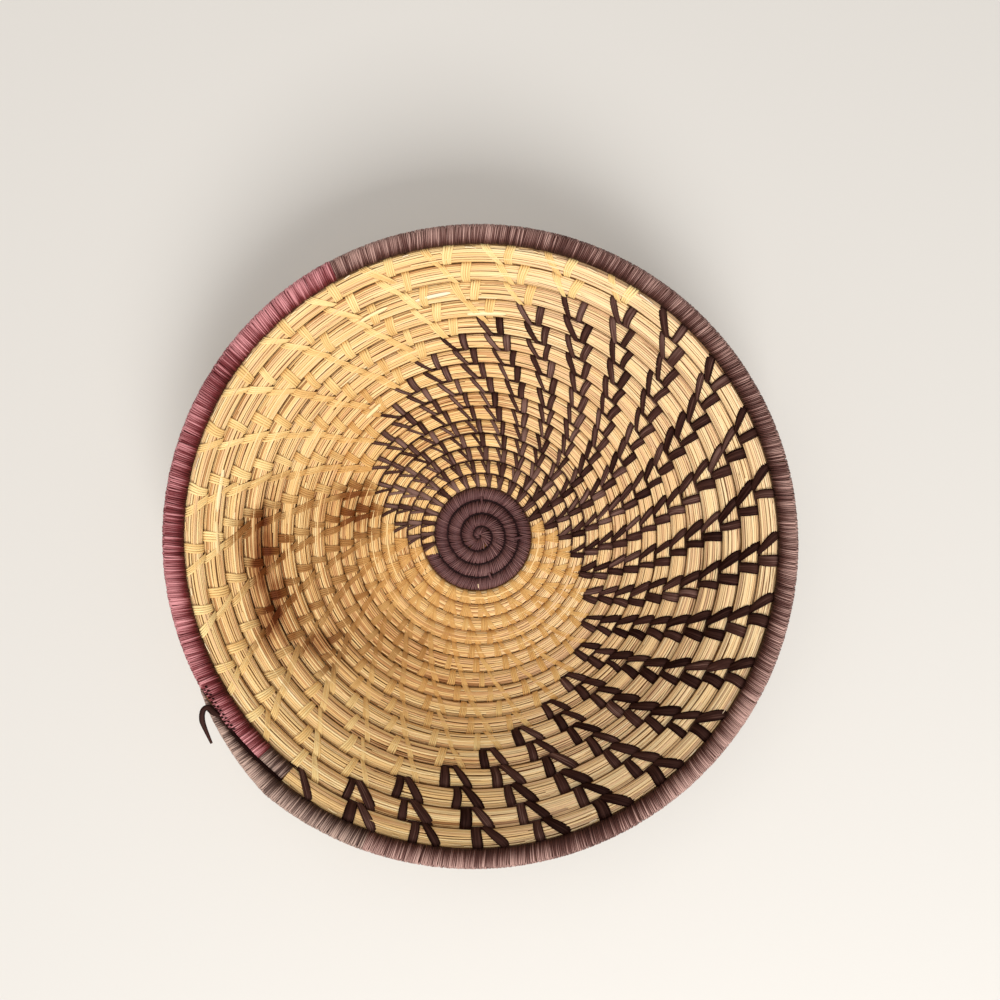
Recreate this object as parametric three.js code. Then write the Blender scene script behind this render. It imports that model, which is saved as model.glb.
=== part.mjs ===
import * as THREE from "three";

// Coiled basket bowl in millimetres, +Z up. One long bundle of straw is wound as a spiral from the
// middle of the base to the rim. Raffia closes it: wrapped close at the centre and on the rim, and
// sewn in slanted stitches on the rows between, fifteen dark ones and then fifteen natural ones.
// The origin is the middle of the bowl, on the flat underside.

// Driving dimensions: the bowl's profile, along the middle of the coil from the axis outwards
const BASE_RADIUS = 62;
const BEND_RADIUS = 60;
const WALL_ANGLE = THREE.MathUtils.degToRad(46);

// The coil of straw: its turns are counted outwards, clockwise as seen from above
const COIL_THICKNESS = 7.6;
const COIL_GAP = 0.6;
const UNDERSIDE_CUT = 0.5;
const CENTRE_HOLE = 0.35;
const LOOP_STEPS = 23;
const LEAST_STEP = 0.2;
const STEP_ROUNDING = 1e-9;
const START_ANGLE = THREE.MathUtils.degToRad(-49);
const START_TURN = 0.5;
const CENTRE_END_TURN = 4.3;
const RIM_START_TURN = 20.2225;
const RIM_END_TURN = 21.28;
const END_TAPER_TURNS = 0.055;
const END_TAPER = 0.42;

// Width of one turn of the coil, at five turns between which it changes evenly
const CENTRE_PITCH = 7.35;
const BASE_PITCH = 7.5;
const BEND_PITCH = 8.4;
const WALL_PITCH = 10.5;
const RIM_PITCH = 8;
const PITCHES = [
  { turn: 1, pitch: CENTRE_PITCH },
  { turn: 9, pitch: BASE_PITCH },
  { turn: 13, pitch: BEND_PITCH },
  { turn: 18, pitch: WALL_PITCH },
  { turn: 22.5, pitch: RIM_PITCH },
];

// The close wrapping of raffia
const WRAP_WALL = 0.8;
const WRAP_CLEARANCE = 0.3;
const WRAP_SHOULDER = 3;
const MAUVE_START_TURN = 20.239;
const MAUVE_END_TURN = 20.536;

// The stitches
const STITCHES_PER_RUN = 15;
const STITCH_TURNS = 0.034233;
const LAST_STITCH_TURN = 20.216;
const LEAD_TURNS_INNER = 0.0185;
const LEAD_TURNS_OUTER = 0.0139;
const STRAND_WIDTH_INNER = 1.9;
const STRAND_WIDTH_OUTER = 3.0;
const STRAND_HEIGHT = 0.8;
const STRAND_CLEARANCE = 0.3;
const STRAND_INSET = 0.7;
const BLUNT_CORNER = 1.15;

// The binding of the coil's end and the loose tail of the last strand
const BINDING_STITCHES = 8;
const BINDING_STITCH_TURNS = 0.0034;
const BINDING_REACH = 0.8;
const BINDING_WIDTH = 1.1;
const BINDING_MARGIN_TURNS = 0.002;
const TAIL_TURN = 21.277;
const TAIL_WIDTH = 3;
const TAIL_TIP_WIDTH = 1.2;
const TAIL_THICKNESS = 0.6;
const TAIL_CLEARANCE = 0.5;
const TAIL_STEPS = 8;
const TAIL_ROUTE = [
  [0, 0, 0],
  [-1.4, -1.6, 0.3],
  [-2.1, -4.2, 0.2],
  [-2.5, -7.6, -0.9],
  [-1.9, -12.6, -3.5],
  [-0.8, -20.5, -8],
];

// Finishes
const STRAW = { color: 0xd8b878, roughness: 0.75 };
const NATURAL_RAFFIA = { color: 0xcfa265, roughness: 0.7 };
const DARK_RAFFIA = { color: 0x3d2f33, roughness: 0.65 };
const CENTRE_RAFFIA = { color: 0x5c4145, roughness: 0.7 };
const RIM_RAFFIA = { color: 0x6a5355, roughness: 0.7 };
const MAUVE_RAFFIA = { color: 0x8f5463, roughness: 0.7 };

// Distance along the profile from the axis to the inner side of the coil at a turn
function reachAt(turn) {
  let reach = CENTRE_HOLE;
  for (let i = 0; i + 1 < PITCHES.length; i += 1) {
    const from = PITCHES[i];
    const to = PITCHES[i + 1];
    const span = THREE.MathUtils.clamp(turn - from.turn, 0, to.turn - from.turn);
    const growth = (to.pitch - from.pitch) / (to.turn - from.turn);
    reach += span * (from.pitch + (growth * span) / 2);
  }
  return reach;
}

// Radius, height and slope of the profile at a distance from the axis along it
const UNDERSIDE_TO_MIDDLE = COIL_THICKNESS / 2 - UNDERSIDE_CUT;
function profileAt(reach) {
  const slope = THREE.MathUtils.clamp((reach - BASE_RADIUS) / BEND_RADIUS, 0, WALL_ANGLE);
  const straight = Math.max(reach - BASE_RADIUS - BEND_RADIUS * WALL_ANGLE, 0);
  const flat = Math.min(reach, BASE_RADIUS);
  return {
    radius: flat + BEND_RADIUS * Math.sin(slope) + straight * Math.cos(slope),
    height: UNDERSIDE_TO_MIDDLE + BEND_RADIUS * (1 - Math.cos(slope)) + straight * Math.sin(slope),
    slope,
  };
}

// Size of the coil's outline at a turn: the middle, half the width and half the thickness. The end
// thins towards its tip and keeps against the turn below it.
function coilAt(turn) {
  const inner = reachAt(turn) + COIL_GAP / 2;
  const outer = reachAt(turn + 1) - COIL_GAP / 2;
  const along = (turn - (RIM_END_TURN - END_TAPER_TURNS)) / END_TAPER_TURNS;
  const taper = THREE.MathUtils.lerp(1, END_TAPER, THREE.MathUtils.clamp(along, 0, 1));
  const half = ((outer - inner) / 2) * taper;
  return { middle: inner + half, half, lift: (COIL_THICKNESS / 2) * taper };
}

// A point beside the middle of the coil: across is outwards along the profile, lift is square to
// the wall, towards the inside of the bowl. Nothing reaches below the level underside.
function stationPoint(station, middle, across, lift) {
  const { radius, height, slope } = profileAt(middle);
  const angle = START_ANGLE - (station / LOOP_STEPS) * 2 * Math.PI;
  const out = radius + across * Math.cos(slope) - lift * Math.sin(slope);
  const up = height + across * Math.sin(slope) + lift * Math.cos(slope);
  return new THREE.Vector3(out * Math.cos(angle), out * Math.sin(angle), Math.max(up, 0));
}

// The same at any turn: it lies on the straight facets between the loop's steps
function coilPoint(turn, across, lift) {
  const { middle } = coilAt(turn);
  const station = turn * LOOP_STEPS;
  const before = Math.floor(station + STEP_ROUNDING);
  const from = stationPoint(before, middle, across, lift);
  return from.lerp(stationPoint(before + 1, middle, across, lift), Math.max(station - before, 0));
}

// Six-sided outline round the coil, flat above and below, drawn in by a margin. On the flat of the
// base the lower side is cut level.
function outlineAt(turn, margin) {
  const { half, lift } = coilAt(turn);
  const wide = half - margin;
  const high = lift - margin;
  const low = high - (margin > 0 ? 0 : UNDERSIDE_CUT);
  const lowWide = (wide / 2) * (1 + (high - low) / high);
  return [
    coilPoint(turn, wide, 0),
    coilPoint(turn, wide / 2, high),
    coilPoint(turn, -wide / 2, high),
    coilPoint(turn, -wide, 0),
    coilPoint(turn, -lowWide, -low),
    coilPoint(turn, lowWide, -low),
  ];
}

// The turns at which a stretch of the coil has an outline: its two ends and each step between
function turnsBetween(from, to) {
  const turns = [from];
  const least = LEAST_STEP / LOOP_STEPS;
  for (let step = Math.ceil(from * LOOP_STEPS); step / LOOP_STEPS < to - least; step += 1) {
    if (step / LOOP_STEPS > from + least) turns.push(step / LOOP_STEPS);
  }
  turns.push(to);
  return turns;
}

// Joins rings of points into a closed body; the faces of each band look away from the ring's middle
function bodyOf(rings, caps) {
  const size = rings[0].length;
  const positions = rings.flat().flatMap((point) => point.toArray());
  const index = [];
  for (let ring = 0; ring + 1 < rings.length; ring += 1) {
    for (let side = 0; side < size; side += 1) {
      const a = ring * size + side;
      const b = ring * size + ((side + 1) % size);
      index.push(a, b, a + size, b, b + size, a + size);
    }
  }
  if (caps) {
    const last = (rings.length - 1) * size;
    for (let side = 1; side + 1 < size; side += 1) {
      index.push(0, side + 1, side, last, last + side, last + side + 1);
    }
  }
  const geometry = new THREE.BufferGeometry();
  geometry.setAttribute("position", new THREE.Float32BufferAttribute(positions, 3));
  geometry.setIndex(index);
  return geometry;
}

function meshOf(name, geometry, finish) {
  const material = new THREE.MeshStandardMaterial({ ...finish, metalness: 0 });
  const mesh = new THREE.Mesh(geometry, material);
  mesh.name = name;
  return mesh;
}

// Millimetres along the coil for one turn, at the middle of the coil
function turnLength(turn) {
  return 2 * Math.PI * profileAt(coilAt(turn).middle).radius;
}

// The straw itself, one unbroken tube, thinner where the wrapping covers it
const WRAPPED_MARGIN = WRAP_WALL + WRAP_CLEARANCE;
function strawCoil() {
  const centreShoulder = CENTRE_END_TURN + WRAP_CLEARANCE / turnLength(CENTRE_END_TURN);
  const centreFull = centreShoulder + WRAP_SHOULDER / turnLength(CENTRE_END_TURN);
  const rimShoulder = RIM_START_TURN - WRAP_CLEARANCE / turnLength(RIM_START_TURN);
  const rimFull = rimShoulder - WRAP_SHOULDER / turnLength(RIM_START_TURN);
  const thinAt = (turn) => outlineAt(turn, WRAPPED_MARGIN);
  const fullAt = (turn) => outlineAt(turn, 0);
  const rings = [
    ...turnsBetween(START_TURN, centreShoulder).map(thinAt),
    ...turnsBetween(centreFull, rimFull).map(fullAt),
    ...turnsBetween(rimShoulder, RIM_END_TURN).map(thinAt),
  ];
  return meshOf("straw_coil", bodyOf(rings, true), STRAW);
}

// A close wrapping: a sleeve round the coil, open at both ends
function wrapping(name, from, to, finish) {
  const outside = turnsBetween(from, to).map((turn) => outlineAt(turn, 0));
  const bore = turnsBetween(from, to).map((turn) => outlineAt(turn, WRAP_WALL));
  const rings = [...outside, ...bore.reverse(), outside[0]];
  return meshOf(name, bodyOf(rings, false), finish);
}

// Offsets from a corner of a strand to its two edges, given the way to the corners before and
// after it: a full mitre inside the bend, blunt outside it
function cornerEdges(before, after, width) {
  const into = before.clone().negate().normalize();
  const away = after.clone().normalize();
  const left = new THREE.Vector2(-into.y - away.y, into.x + away.x);
  left.divideScalar(1 + into.dot(away)).multiplyScalar(width / 2);
  const right = left.clone().negate();
  const longest = (width / 2) * BLUNT_CORNER;
  return into.cross(away) > 0
    ? { left, right: right.clampLength(0, longest) }
    : { left: left.clampLength(0, longest), right };
}

// A strand over the crest of the coil, three-sided with square ends, laid through corners given
// as a turn and a place across the coil
function strandBody(corners, width) {
  const rings = corners.map(({ turn, across }, i) => {
    const length = turnLength(turn);
    const wayTo = (other) => new THREE.Vector2((other.turn - turn) * length, other.across - across);
    const before = corners[i - 1] && wayTo(corners[i - 1]);
    const after = corners[i + 1] ? wayTo(corners[i + 1]) : before.clone().negate();
    const edges = cornerEdges(before || after.clone().negate(), after, width);
    const base = coilAt(turn).lift + STRAND_CLEARANCE;
    const at = (edge, lift) => coilPoint(turn + edge.x / length, across + edge.y, lift);
    return [at(edges.left, base), at(new THREE.Vector2(), base + STRAND_HEIGHT), at(edges.right, base)];
  });
  return bodyOf(rings, true);
}

// Half of the coil's width that a strand's middle may use
function strandReach(turn, width) {
  return coilAt(turn).half + COIL_GAP / 2 - STRAND_INSET - (width / 2) * BLUNT_CORNER;
}

// One run of stitches: each comes down slanting, turns at the inner side of the coil and goes
// straight out again, and the strand then runs on along the outer side to the next
function stitchRun(name, lastTurn, count, finish) {
  const share = (lastTurn - CENTRE_END_TURN) / (RIM_START_TURN - CENTRE_END_TURN);
  const width = THREE.MathUtils.lerp(STRAND_WIDTH_INNER, STRAND_WIDTH_OUTER, share);
  const lead = THREE.MathUtils.lerp(LEAD_TURNS_INNER, LEAD_TURNS_OUTER, share);
  const corners = [];
  for (let stitch = count - 1; stitch >= 0; stitch -= 1) {
    const turn = lastTurn - stitch * STITCH_TURNS;
    corners.push({ turn: turn - lead, across: strandReach(turn - lead, width) });
    corners.push({ turn, across: -strandReach(turn, width) });
    corners.push({ turn, across: strandReach(turn, width) });
  }
  return meshOf(name, strandBody(corners, width), finish);
}

// All runs, from the last dark one under the rim inwards; the row's number counts outwards
function stitchRuns() {
  const runTurns = STITCHES_PER_RUN * STITCH_TURNS;
  const room = LAST_STITCH_TURN - LEAD_TURNS_INNER - CENTRE_END_TURN;
  const stitches = Math.floor(room / STITCH_TURNS) + 1;
  const runs = Math.floor(stitches / STITCHES_PER_RUN);
  const meshes = [];
  for (let run = 0; run < runs; run += 1) {
    const number = String(Math.ceil((runs - run) / 2)).padStart(2, "0");
    const last = LAST_STITCH_TURN - run * runTurns;
    const [label, finish] = run % 2 ? ["natural", NATURAL_RAFFIA] : ["dark", DARK_RAFFIA];
    meshes.push(stitchRun(`${label}_strand_${number}`, last, STITCHES_PER_RUN, finish));
  }
  return meshes;
}

// Short black stitches that bind the thin end of the coil down to the turn below it
function endBinding() {
  const lastTurn = RIM_END_TURN - BINDING_MARGIN_TURNS;
  const corners = [];
  for (let stitch = BINDING_STITCHES - 1; stitch >= 0; stitch -= 1) {
    const turn = lastTurn - stitch * BINDING_STITCH_TURNS;
    corners.push({ turn: turn - BINDING_STITCH_TURNS / 2, across: 0 });
    corners.push({ turn, across: -coilAt(turn).half * BINDING_REACH });
  }
  return meshOf("end_binding", strandBody(corners, BINDING_WIDTH), DARK_RAFFIA);
}

// The loose tail of the last strand: a flat strip from the outer side of the coil, out and down
function looseTail() {
  const outside = coilAt(TAIL_TURN).half + TAIL_CLEARANCE;
  const start = coilPoint(TAIL_TURN, outside, 0);
  const route = TAIL_ROUTE.map((offset) => new THREE.Vector3(...offset).add(start));
  const curve = new THREE.CatmullRomCurve3(route);
  const rings = [];
  for (let step = 0; step <= TAIL_STEPS; step += 1) {
    const point = curve.getPointAt(step / TAIL_STEPS);
    const ahead = curve.getTangentAt(step / TAIL_STEPS);
    const side = new THREE.Vector3(0, 0, 1).cross(ahead).normalize();
    const up = ahead.clone().cross(side).multiplyScalar(TAIL_THICKNESS / 2);
    side.multiplyScalar(THREE.MathUtils.lerp(TAIL_WIDTH, TAIL_TIP_WIDTH, step / TAIL_STEPS) / 2);
    const corner = (sideSign, upSign) =>
      point.clone().addScaledVector(side, sideSign).addScaledVector(up, upSign);
    rings.push([corner(1, -1), corner(1, 1), corner(-1, 1), corner(-1, -1)]);
  }
  return meshOf("loose_tail", bodyOf(rings, true), DARK_RAFFIA);
}

// Least distance between a turn of the coil and the next, on the points of their outlines
function leastCoilGap() {
  let least = Infinity;
  for (let step = START_TURN * LOOP_STEPS; step / LOOP_STEPS < RIM_END_TURN - 1; step += 0.5) {
    const inner = outlineAt(step / LOOP_STEPS, 0);
    const outer = outlineAt(step / LOOP_STEPS + 1, 0);
    for (const point of inner) {
      for (const other of outer) least = Math.min(least, point.distanceTo(other));
    }
  }
  return least;
}

const basket = new THREE.Group();
basket.add(strawCoil());
basket.add(wrapping("centre_wrap", START_TURN, CENTRE_END_TURN, CENTRE_RAFFIA));
const rimGap = WRAP_CLEARANCE / turnLength(RIM_START_TURN);
basket.add(wrapping("rim_wrap_start", RIM_START_TURN, MAUVE_START_TURN - rimGap, RIM_RAFFIA));
basket.add(wrapping("rim_wrap_mauve", MAUVE_START_TURN, MAUVE_END_TURN - rimGap, MAUVE_RAFFIA));
basket.add(wrapping("rim_wrap_dark", MAUVE_END_TURN, RIM_END_TURN, RIM_RAFFIA));
basket.add(...stitchRuns());
basket.add(endBinding());
basket.add(looseTail());

// The spiral grows by a coil's width over its last turn, so the bowl is centred by its outer size
const size = new THREE.Box3().setFromObject(basket);
const middle = size.getCenter(new THREE.Vector3());
basket.position.set(-middle.x, -middle.y, 0);

console.log(`least gap between turns of the coil: ${leastCoilGap().toFixed(2)} mm`);

export default basket;
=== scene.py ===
import math
from collections import namedtuple

import bpy
import numpy as np
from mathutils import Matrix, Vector


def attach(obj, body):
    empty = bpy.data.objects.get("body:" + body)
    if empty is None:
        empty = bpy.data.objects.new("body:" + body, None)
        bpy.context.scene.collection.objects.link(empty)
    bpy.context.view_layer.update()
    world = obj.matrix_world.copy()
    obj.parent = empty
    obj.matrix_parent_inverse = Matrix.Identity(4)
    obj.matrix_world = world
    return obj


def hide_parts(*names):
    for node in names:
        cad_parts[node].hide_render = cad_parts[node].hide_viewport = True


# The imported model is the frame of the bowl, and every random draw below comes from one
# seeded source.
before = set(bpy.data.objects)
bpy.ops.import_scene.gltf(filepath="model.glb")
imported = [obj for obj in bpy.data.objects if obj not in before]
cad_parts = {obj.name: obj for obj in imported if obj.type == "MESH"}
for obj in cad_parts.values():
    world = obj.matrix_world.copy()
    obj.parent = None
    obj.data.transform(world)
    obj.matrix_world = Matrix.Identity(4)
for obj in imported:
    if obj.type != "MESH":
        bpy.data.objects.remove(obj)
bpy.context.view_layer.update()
chance = np.random.default_rng(11)


# The coil is one bundle of straw wound as a spiral, clockwise and outwards as seen from above:
# level over the base, round a bend, then up a straight wall. Turns are counted from the middle,
# and lengths are in metres. The rows have the given widths, or pitches, at the given turns.
BASE_RADIUS = 0.062
BEND_RADIUS = 0.060
WALL_ANGLE = math.radians(46)
COIL_THICKNESS = 0.0076
UNDERSIDE_CUT = 0.0005
PRESSED_FLAT = 0.23
BASE_EDGE = 0.02
CENTRE_HOLE = 0.00035
START_ANGLE = math.radians(-49)
START_TURN = 0.5
CENTRE_END_TURN = 4.3
RIM_START_TURN = 20.2225
RIM_END_TURN = 21.284
THIN_FROM_TURNS = [21.225, 21.273, 21.286]
THIN_SHARES = [1, 0.33, 0.08]
PITCH_TURNS = [0.999, 1, 9, 13, 18, 22.5]
PITCHES = [0, 0.00735, 0.0075, 0.0084, 0.0105, 0.0080]
SPIRAL_MIDDLE = np.array([-0.00189, 0.00116, 0])
SPIRAL_POINTS = 9001
turn_steps = np.linspace(0, PITCH_TURNS[-1], SPIRAL_POINTS)
pitch_steps = np.interp(turn_steps, PITCH_TURNS, PITCHES)
reach_steps = CENTRE_HOLE + np.cumsum(pitch_steps) * (turn_steps[1] - turn_steps[0])

Coil = namedtuple("Coil", "middle across square half high")


def coil_at(turn):
    """The coil's middle, the ways across it and square to the wall, and its two half sizes."""
    turn = np.asarray(turn, float)
    inner = np.interp(turn, turn_steps, reach_steps)
    outer = np.interp(turn + 1, turn_steps, reach_steps)
    taper = np.interp(turn, THIN_FROM_TURNS, THIN_SHARES)
    half = (outer - inner) / 2 * taper
    reach = inner + half
    slope = np.clip((reach - BASE_RADIUS) / BEND_RADIUS, 0, WALL_ANGLE)
    straight = np.maximum(reach - BASE_RADIUS - BEND_RADIUS * WALL_ANGLE, 0)
    radius = np.minimum(reach, BASE_RADIUS) + BEND_RADIUS * np.sin(slope)
    radius = radius + straight * np.cos(slope)
    height = COIL_THICKNESS / 2 - UNDERSIDE_CUT + BEND_RADIUS * (1 - np.cos(slope))
    height = height + straight * np.sin(slope)
    angle = START_ANGLE - turn * 2 * math.pi
    east, north = np.cos(angle), np.sin(angle)
    middle = SPIRAL_MIDDLE + np.stack([radius * east, radius * north, height], -1)
    across = np.stack([np.cos(slope) * east, np.cos(slope) * north, np.sin(slope)], -1)
    square = np.stack([-np.sin(slope) * east, -np.sin(slope) * north, np.cos(slope)], -1)
    return Coil(middle, across, square, half, COIL_THICKNESS / 2 * taper)


def coil_point(turn, out, lift):
    """Points beside the middle of the coil, out and lift in shares of its half sizes.

    Under the level base the coil is pressed flat, so that nothing reaches through the floor.
    """
    coil = coil_at(turn)
    level = np.clip(1 - (1 - coil.square[..., 2]) / BASE_EDGE, 0, 1)
    lift = np.where(lift < 0, lift * (1 - PRESSED_FLAT * level), lift)
    aside = coil.across * (out * coil.half)[..., None]
    return coil.middle + aside + coil.square * (lift * coil.high)[..., None]


def coil_length(turn):
    """Metres along the coil for one turn."""
    middle = coil_at(turn).middle - SPIRAL_MIDDLE
    return 2 * math.pi * np.hypot(middle[..., 0], middle[..., 1])


def unit(rows):
    """Each row as a vector of length 1."""
    return rows / np.linalg.norm(rows, axis=1)[:, None]


# Everything in the bowl is a strand that follows a path. Geometry nodes sweep a flat or round
# section along the edges of a wire mesh, which carries each point's breadth, facing and tone,
# and where it matters a shade of painted light: painted shade below nought, painted highlight above
# it.
def add_node(tree, kind, links, settings):
    """A new node with its settings, its sockets linked to others or set to plain values."""
    node = tree.nodes.new(kind)
    for setting, value in settings.items():
        setattr(node, setting, value)
    for socket, source in links.items():
        if isinstance(source, bpy.types.NodeSocket):
            tree.links.new(source, node.inputs[socket])
        else:
            node.inputs[socket].default_value = source
    return node


def sweep_tree():
    """The geometry nodes that make strands of a wire mesh's paths."""
    tree = bpy.data.node_groups.new("strand along a path", "GeometryNodeTree")
    sockets = {"Paths": "Geometry", "Sides": "Int", "Flatness": "Float", "Finish": "Material"}
    for name, kind in sockets.items():
        tree.interface.new_socket(name, in_out="INPUT", socket_type="NodeSocket" + kind)
    tree.interface.new_socket("Strands", in_out="OUTPUT", socket_type="NodeSocketGeometry")
    given = tree.nodes.new("NodeGroupInput").outputs
    group_out = tree.nodes.new("NodeGroupOutput")

    def step(kind, links, **settings):
        return add_node(tree, kind, links, settings).outputs

    def point_value(name, kind):
        return step("GeometryNodeInputNamedAttribute", {"Name": name}, data_type=kind)[0]

    lines = step("GeometryNodeMeshToCurve", {"Mesh": given["Paths"]})
    turned = step(
        "GeometryNodeSetCurveNormal",
        {"Curve": lines[0], "Normal": point_value("facing", "FLOAT_VECTOR")},
        mode="FREE",
    )
    circle = step("GeometryNodeCurvePrimitiveCircle", {"Resolution": given["Sides"], "Radius": 1.0})
    shape = step("ShaderNodeCombineXYZ", {"X": given["Flatness"], "Y": 1})
    section = step("GeometryNodeTransform", {"Geometry": circle["Curve"], "Scale": shape[0]})
    place = step("ShaderNodeSeparateXYZ", {0: step("GeometryNodeInputPosition", {})[0]})
    marked = step(
        "GeometryNodeStoreNamedAttribute",
        {"Geometry": section[0], "Name": "across", "Value": place["Y"]},
        data_type="FLOAT",
        domain="POINT",
    )
    swept = step(
        "GeometryNodeCurveToMesh",
        {
            "Curve": turned[0],
            "Profile Curve": marked[0],
            "Scale": point_value("breadth", "FLOAT"),
            "Fill Caps": True,
        },
    )
    smooth = step("GeometryNodeSetShadeSmooth", {"Geometry": swept[0]})
    real = step("GeometryNodeRealizeInstances", {"Geometry": smooth[0]})
    finished = step("GeometryNodeSetMaterial", {"Geometry": real[0], "Material": given["Finish"]})
    tree.links.new(finished[0], group_out.inputs[0])
    return tree


strand_tree = sweep_tree()


def path(points, facing, breadth, tone, shade=0.0):
    """A strand's points, the way it faces at each, and its half breadth, tone and shade."""
    return {"points": points, "facing": facing, "breadth": breadth, "tone": tone, "shade": shade}


def distance_along(points):
    """How far along its path each point lies."""
    return np.cumsum(np.linalg.norm(np.diff(points, axis=0, prepend=points[:1]), axis=1))


def strands(name, paths, finish, sides, flatness):
    """One mesh of strands, each swept along its path with a section of this many sides."""
    counts = [len(p["points"]) for p in paths]
    starts = np.concatenate([[0], np.cumsum(counts)[:-1]])
    runs = [np.arange(start, start + count) for start, count in zip(starts, counts)]
    edges = np.concatenate([np.stack([run[:-1], run[1:]], 1) for run in runs])
    points = np.concatenate([p["points"] for p in paths])
    wire = bpy.data.meshes.new(name + "_paths")
    wire.from_pydata(points.tolist(), edges.tolist(), [])
    values = {"along": [distance_along(p["points"]) for p in paths]}
    for key in ("breadth", "tone", "shade"):
        values[key] = [np.broadcast_to(p[key], count) for p, count in zip(paths, counts)]
    for key, rows in values.items():
        attribute = wire.attributes.new(key, "FLOAT", "POINT")
        attribute.data.foreach_set("value", np.concatenate(rows).astype(np.float32))
    attribute = wire.attributes.new("facing", "FLOAT_VECTOR", "POINT")
    facing = np.concatenate([p["facing"] for p in paths])
    attribute.data.foreach_set("vector", facing.astype(np.float32).ravel())
    maker = bpy.data.objects.new(name + "_maker", wire)
    bpy.context.scene.collection.objects.link(maker)
    modifier = maker.modifiers.new("sweep", "NODES")
    modifier.node_group = strand_tree
    settings = {"Sides": sides, "Flatness": flatness, "Finish": finish}
    for item in strand_tree.interface.items_tree:
        if item.in_out == "INPUT" and item.name in settings:
            modifier[item.identifier] = settings[item.name]
    graph = bpy.context.evaluated_depsgraph_get()
    mesh = bpy.data.meshes.new_from_object(maker.evaluated_get(graph), depsgraph=graph)
    bpy.data.objects.remove(maker)
    bpy.data.meshes.remove(wire)
    mesh.name = name
    piece = bpy.data.objects.new(name, mesh)
    bpy.context.scene.collection.objects.link(piece)
    return piece


# What the materials share: short ways to add nodes, the noise of fibres, and tints laid over a
# colour. Everything is worked out from the place in the bowl and from what the strands carry.
MIX_FACTOR, MIX_FIRST, MIX_SECOND, MIX_RESULT = 0, 6, 7, 2
BUMP_DEPTH = 0.0003


def shader(name):
    """A new material, a short way to add a node to it, its surface and its tree."""
    material = bpy.data.materials.new(name)
    material.use_nodes = True
    tree = material.node_tree

    def add(kind, links=None, **settings):
        return add_node(tree, "ShaderNode" + kind, links or {}, settings).outputs

    return material, add, tree.nodes["Principled BSDF"], tree


def calc(add, operation, *values):
    """The result of a Math node."""
    return add("Math", dict(enumerate(values)), operation=operation)[0]


def ranged(add, value, low, high, to_low=0.0, to_high=1.0):
    """The value taken from one range to another, and held inside that."""
    before = {"Value": value, "From Min": low, "From Max": high}
    return add("MapRange", {**before, "To Min": to_low, "To Max": to_high})[0]


def carried(add, name):
    """A value that the strand carries at each point."""
    return add("Attribute", attribute_name=name)["Fac"]


def bowl_place(add):
    """The place in the bowl, in metres."""
    return add("TexCoord")["Object"]


def clouds(add, scale, detail):
    """Soft noise that takes no heed of the strands."""
    return add("TexNoise", {"Vector": bowl_place(add), "Scale": scale, "Detail": detail})["Fac"]


def colour_ramp(add, factor, stops):
    """The colour at the factor, between the given places and colours."""
    colour = add("ValToRGB", {"Fac": factor})["Color"]
    elements = colour.node.color_ramp.elements
    while len(elements) < len(stops):
        elements.new(0.5)
    for element, (place, value) in zip(elements, stops):
        element.position = place
        element.color = (*value, 1)
    return colour


def fibre_noise(add, tone, fine, long, seed):
    """Noise drawn out along the strand: fine across it, and long per metre along it."""
    wide = calc(add, "MULTIPLY", carried(add, "across"), fine)
    far = calc(add, "MULTIPLY", carried(add, "along"), long)
    own = calc(add, "MULTIPLY", tone, seed)
    place = add("CombineXYZ", {"X": wide, "Y": far, "Z": own})[0]
    return add("TexNoise", {"Vector": place, "Scale": 1.0, "Detail": 3.0})["Fac"]


def mixed_colours(add, factor, first, second, **settings):
    """The first colour where the factor is 0, and what the second makes of it where it is 1."""
    sockets = {MIX_FACTOR: factor, MIX_FIRST: first, MIX_SECOND: (*second, 1)}
    return add("Mix", sockets, data_type="RGBA", **settings)[MIX_RESULT]


def tinted(add, factor, colour, tint):
    """The colour times the tint, where the factor is 1."""
    return mixed_colours(add, factor, colour, tint, blend_type="MULTIPLY")


def cover(add, surface, tree, colour, relief, strength, roughness, gloss):
    """Gives the surface its colour, the relief of its fibres, its roughness and its gloss."""
    tree.links.new(colour, surface.inputs["Base Color"])
    bump = add("Bump", {"Height": relief, "Strength": strength, "Distance": BUMP_DEPTH})[0]
    tree.links.new(bump, surface.inputs["Normal"])
    surface.inputs["Roughness"].default_value = roughness
    surface.inputs["Specular IOR Level"].default_value = gloss


# On the left wall tea or damp has browned the bowl: spots with a middle, a size and a strength,
# and deeper ones, narrower, inside them. Towards the base the colours are duller and browner, and
# the right side is painted paler, as painted light.
STAINS = [
    ((-0.088, -0.016, 0.030), (0.040, 0.056, 0.080), 0.60),
    ((-0.112, 0.000, 0.040), (0.017, 0.026, 0.060), 0.9),
    ((-0.103, -0.036, 0.035), (0.017, 0.030, 0.060), 0.9),
    ((-0.069, 0.014, 0.020), (0.018, 0.020, 0.060), 0.9),
    ((-0.080, -0.058, 0.030), (0.022, 0.016, 0.060), 0.7),
    ((-0.050, -0.058, 0.010), (0.028, 0.020, 0.060), 0.45),
]
DEEP_STAINS = [
    ((-0.113, -0.006, 0.037), (0.0050, 0.026, 0.060), 1.0),
    ((-0.107, -0.034, 0.035), (0.0050, 0.018, 0.060), 0.9),
    ((-0.069, 0.014, 0.020), (0.0060, 0.010, 0.060), 0.4),
    ((-0.087, -0.054, 0.030), (0.0080, 0.007, 0.060), 0.7),
]
DEEP_BROWN = (0.40, 0.22, 0.12)
STAIN_CLOUDS = (75.0, 2.0)
STAIN_FADES = (1.65, 1.0)
DULL_HEIGHTS = (0.042, 0.008)
PAINTED_RIGHT_LIGHT_FROM = (-0.005, 0.035)
PAINTED_RIGHT_LIGHT_STRAW = (0.98, 0.84, 0.66)


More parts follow.
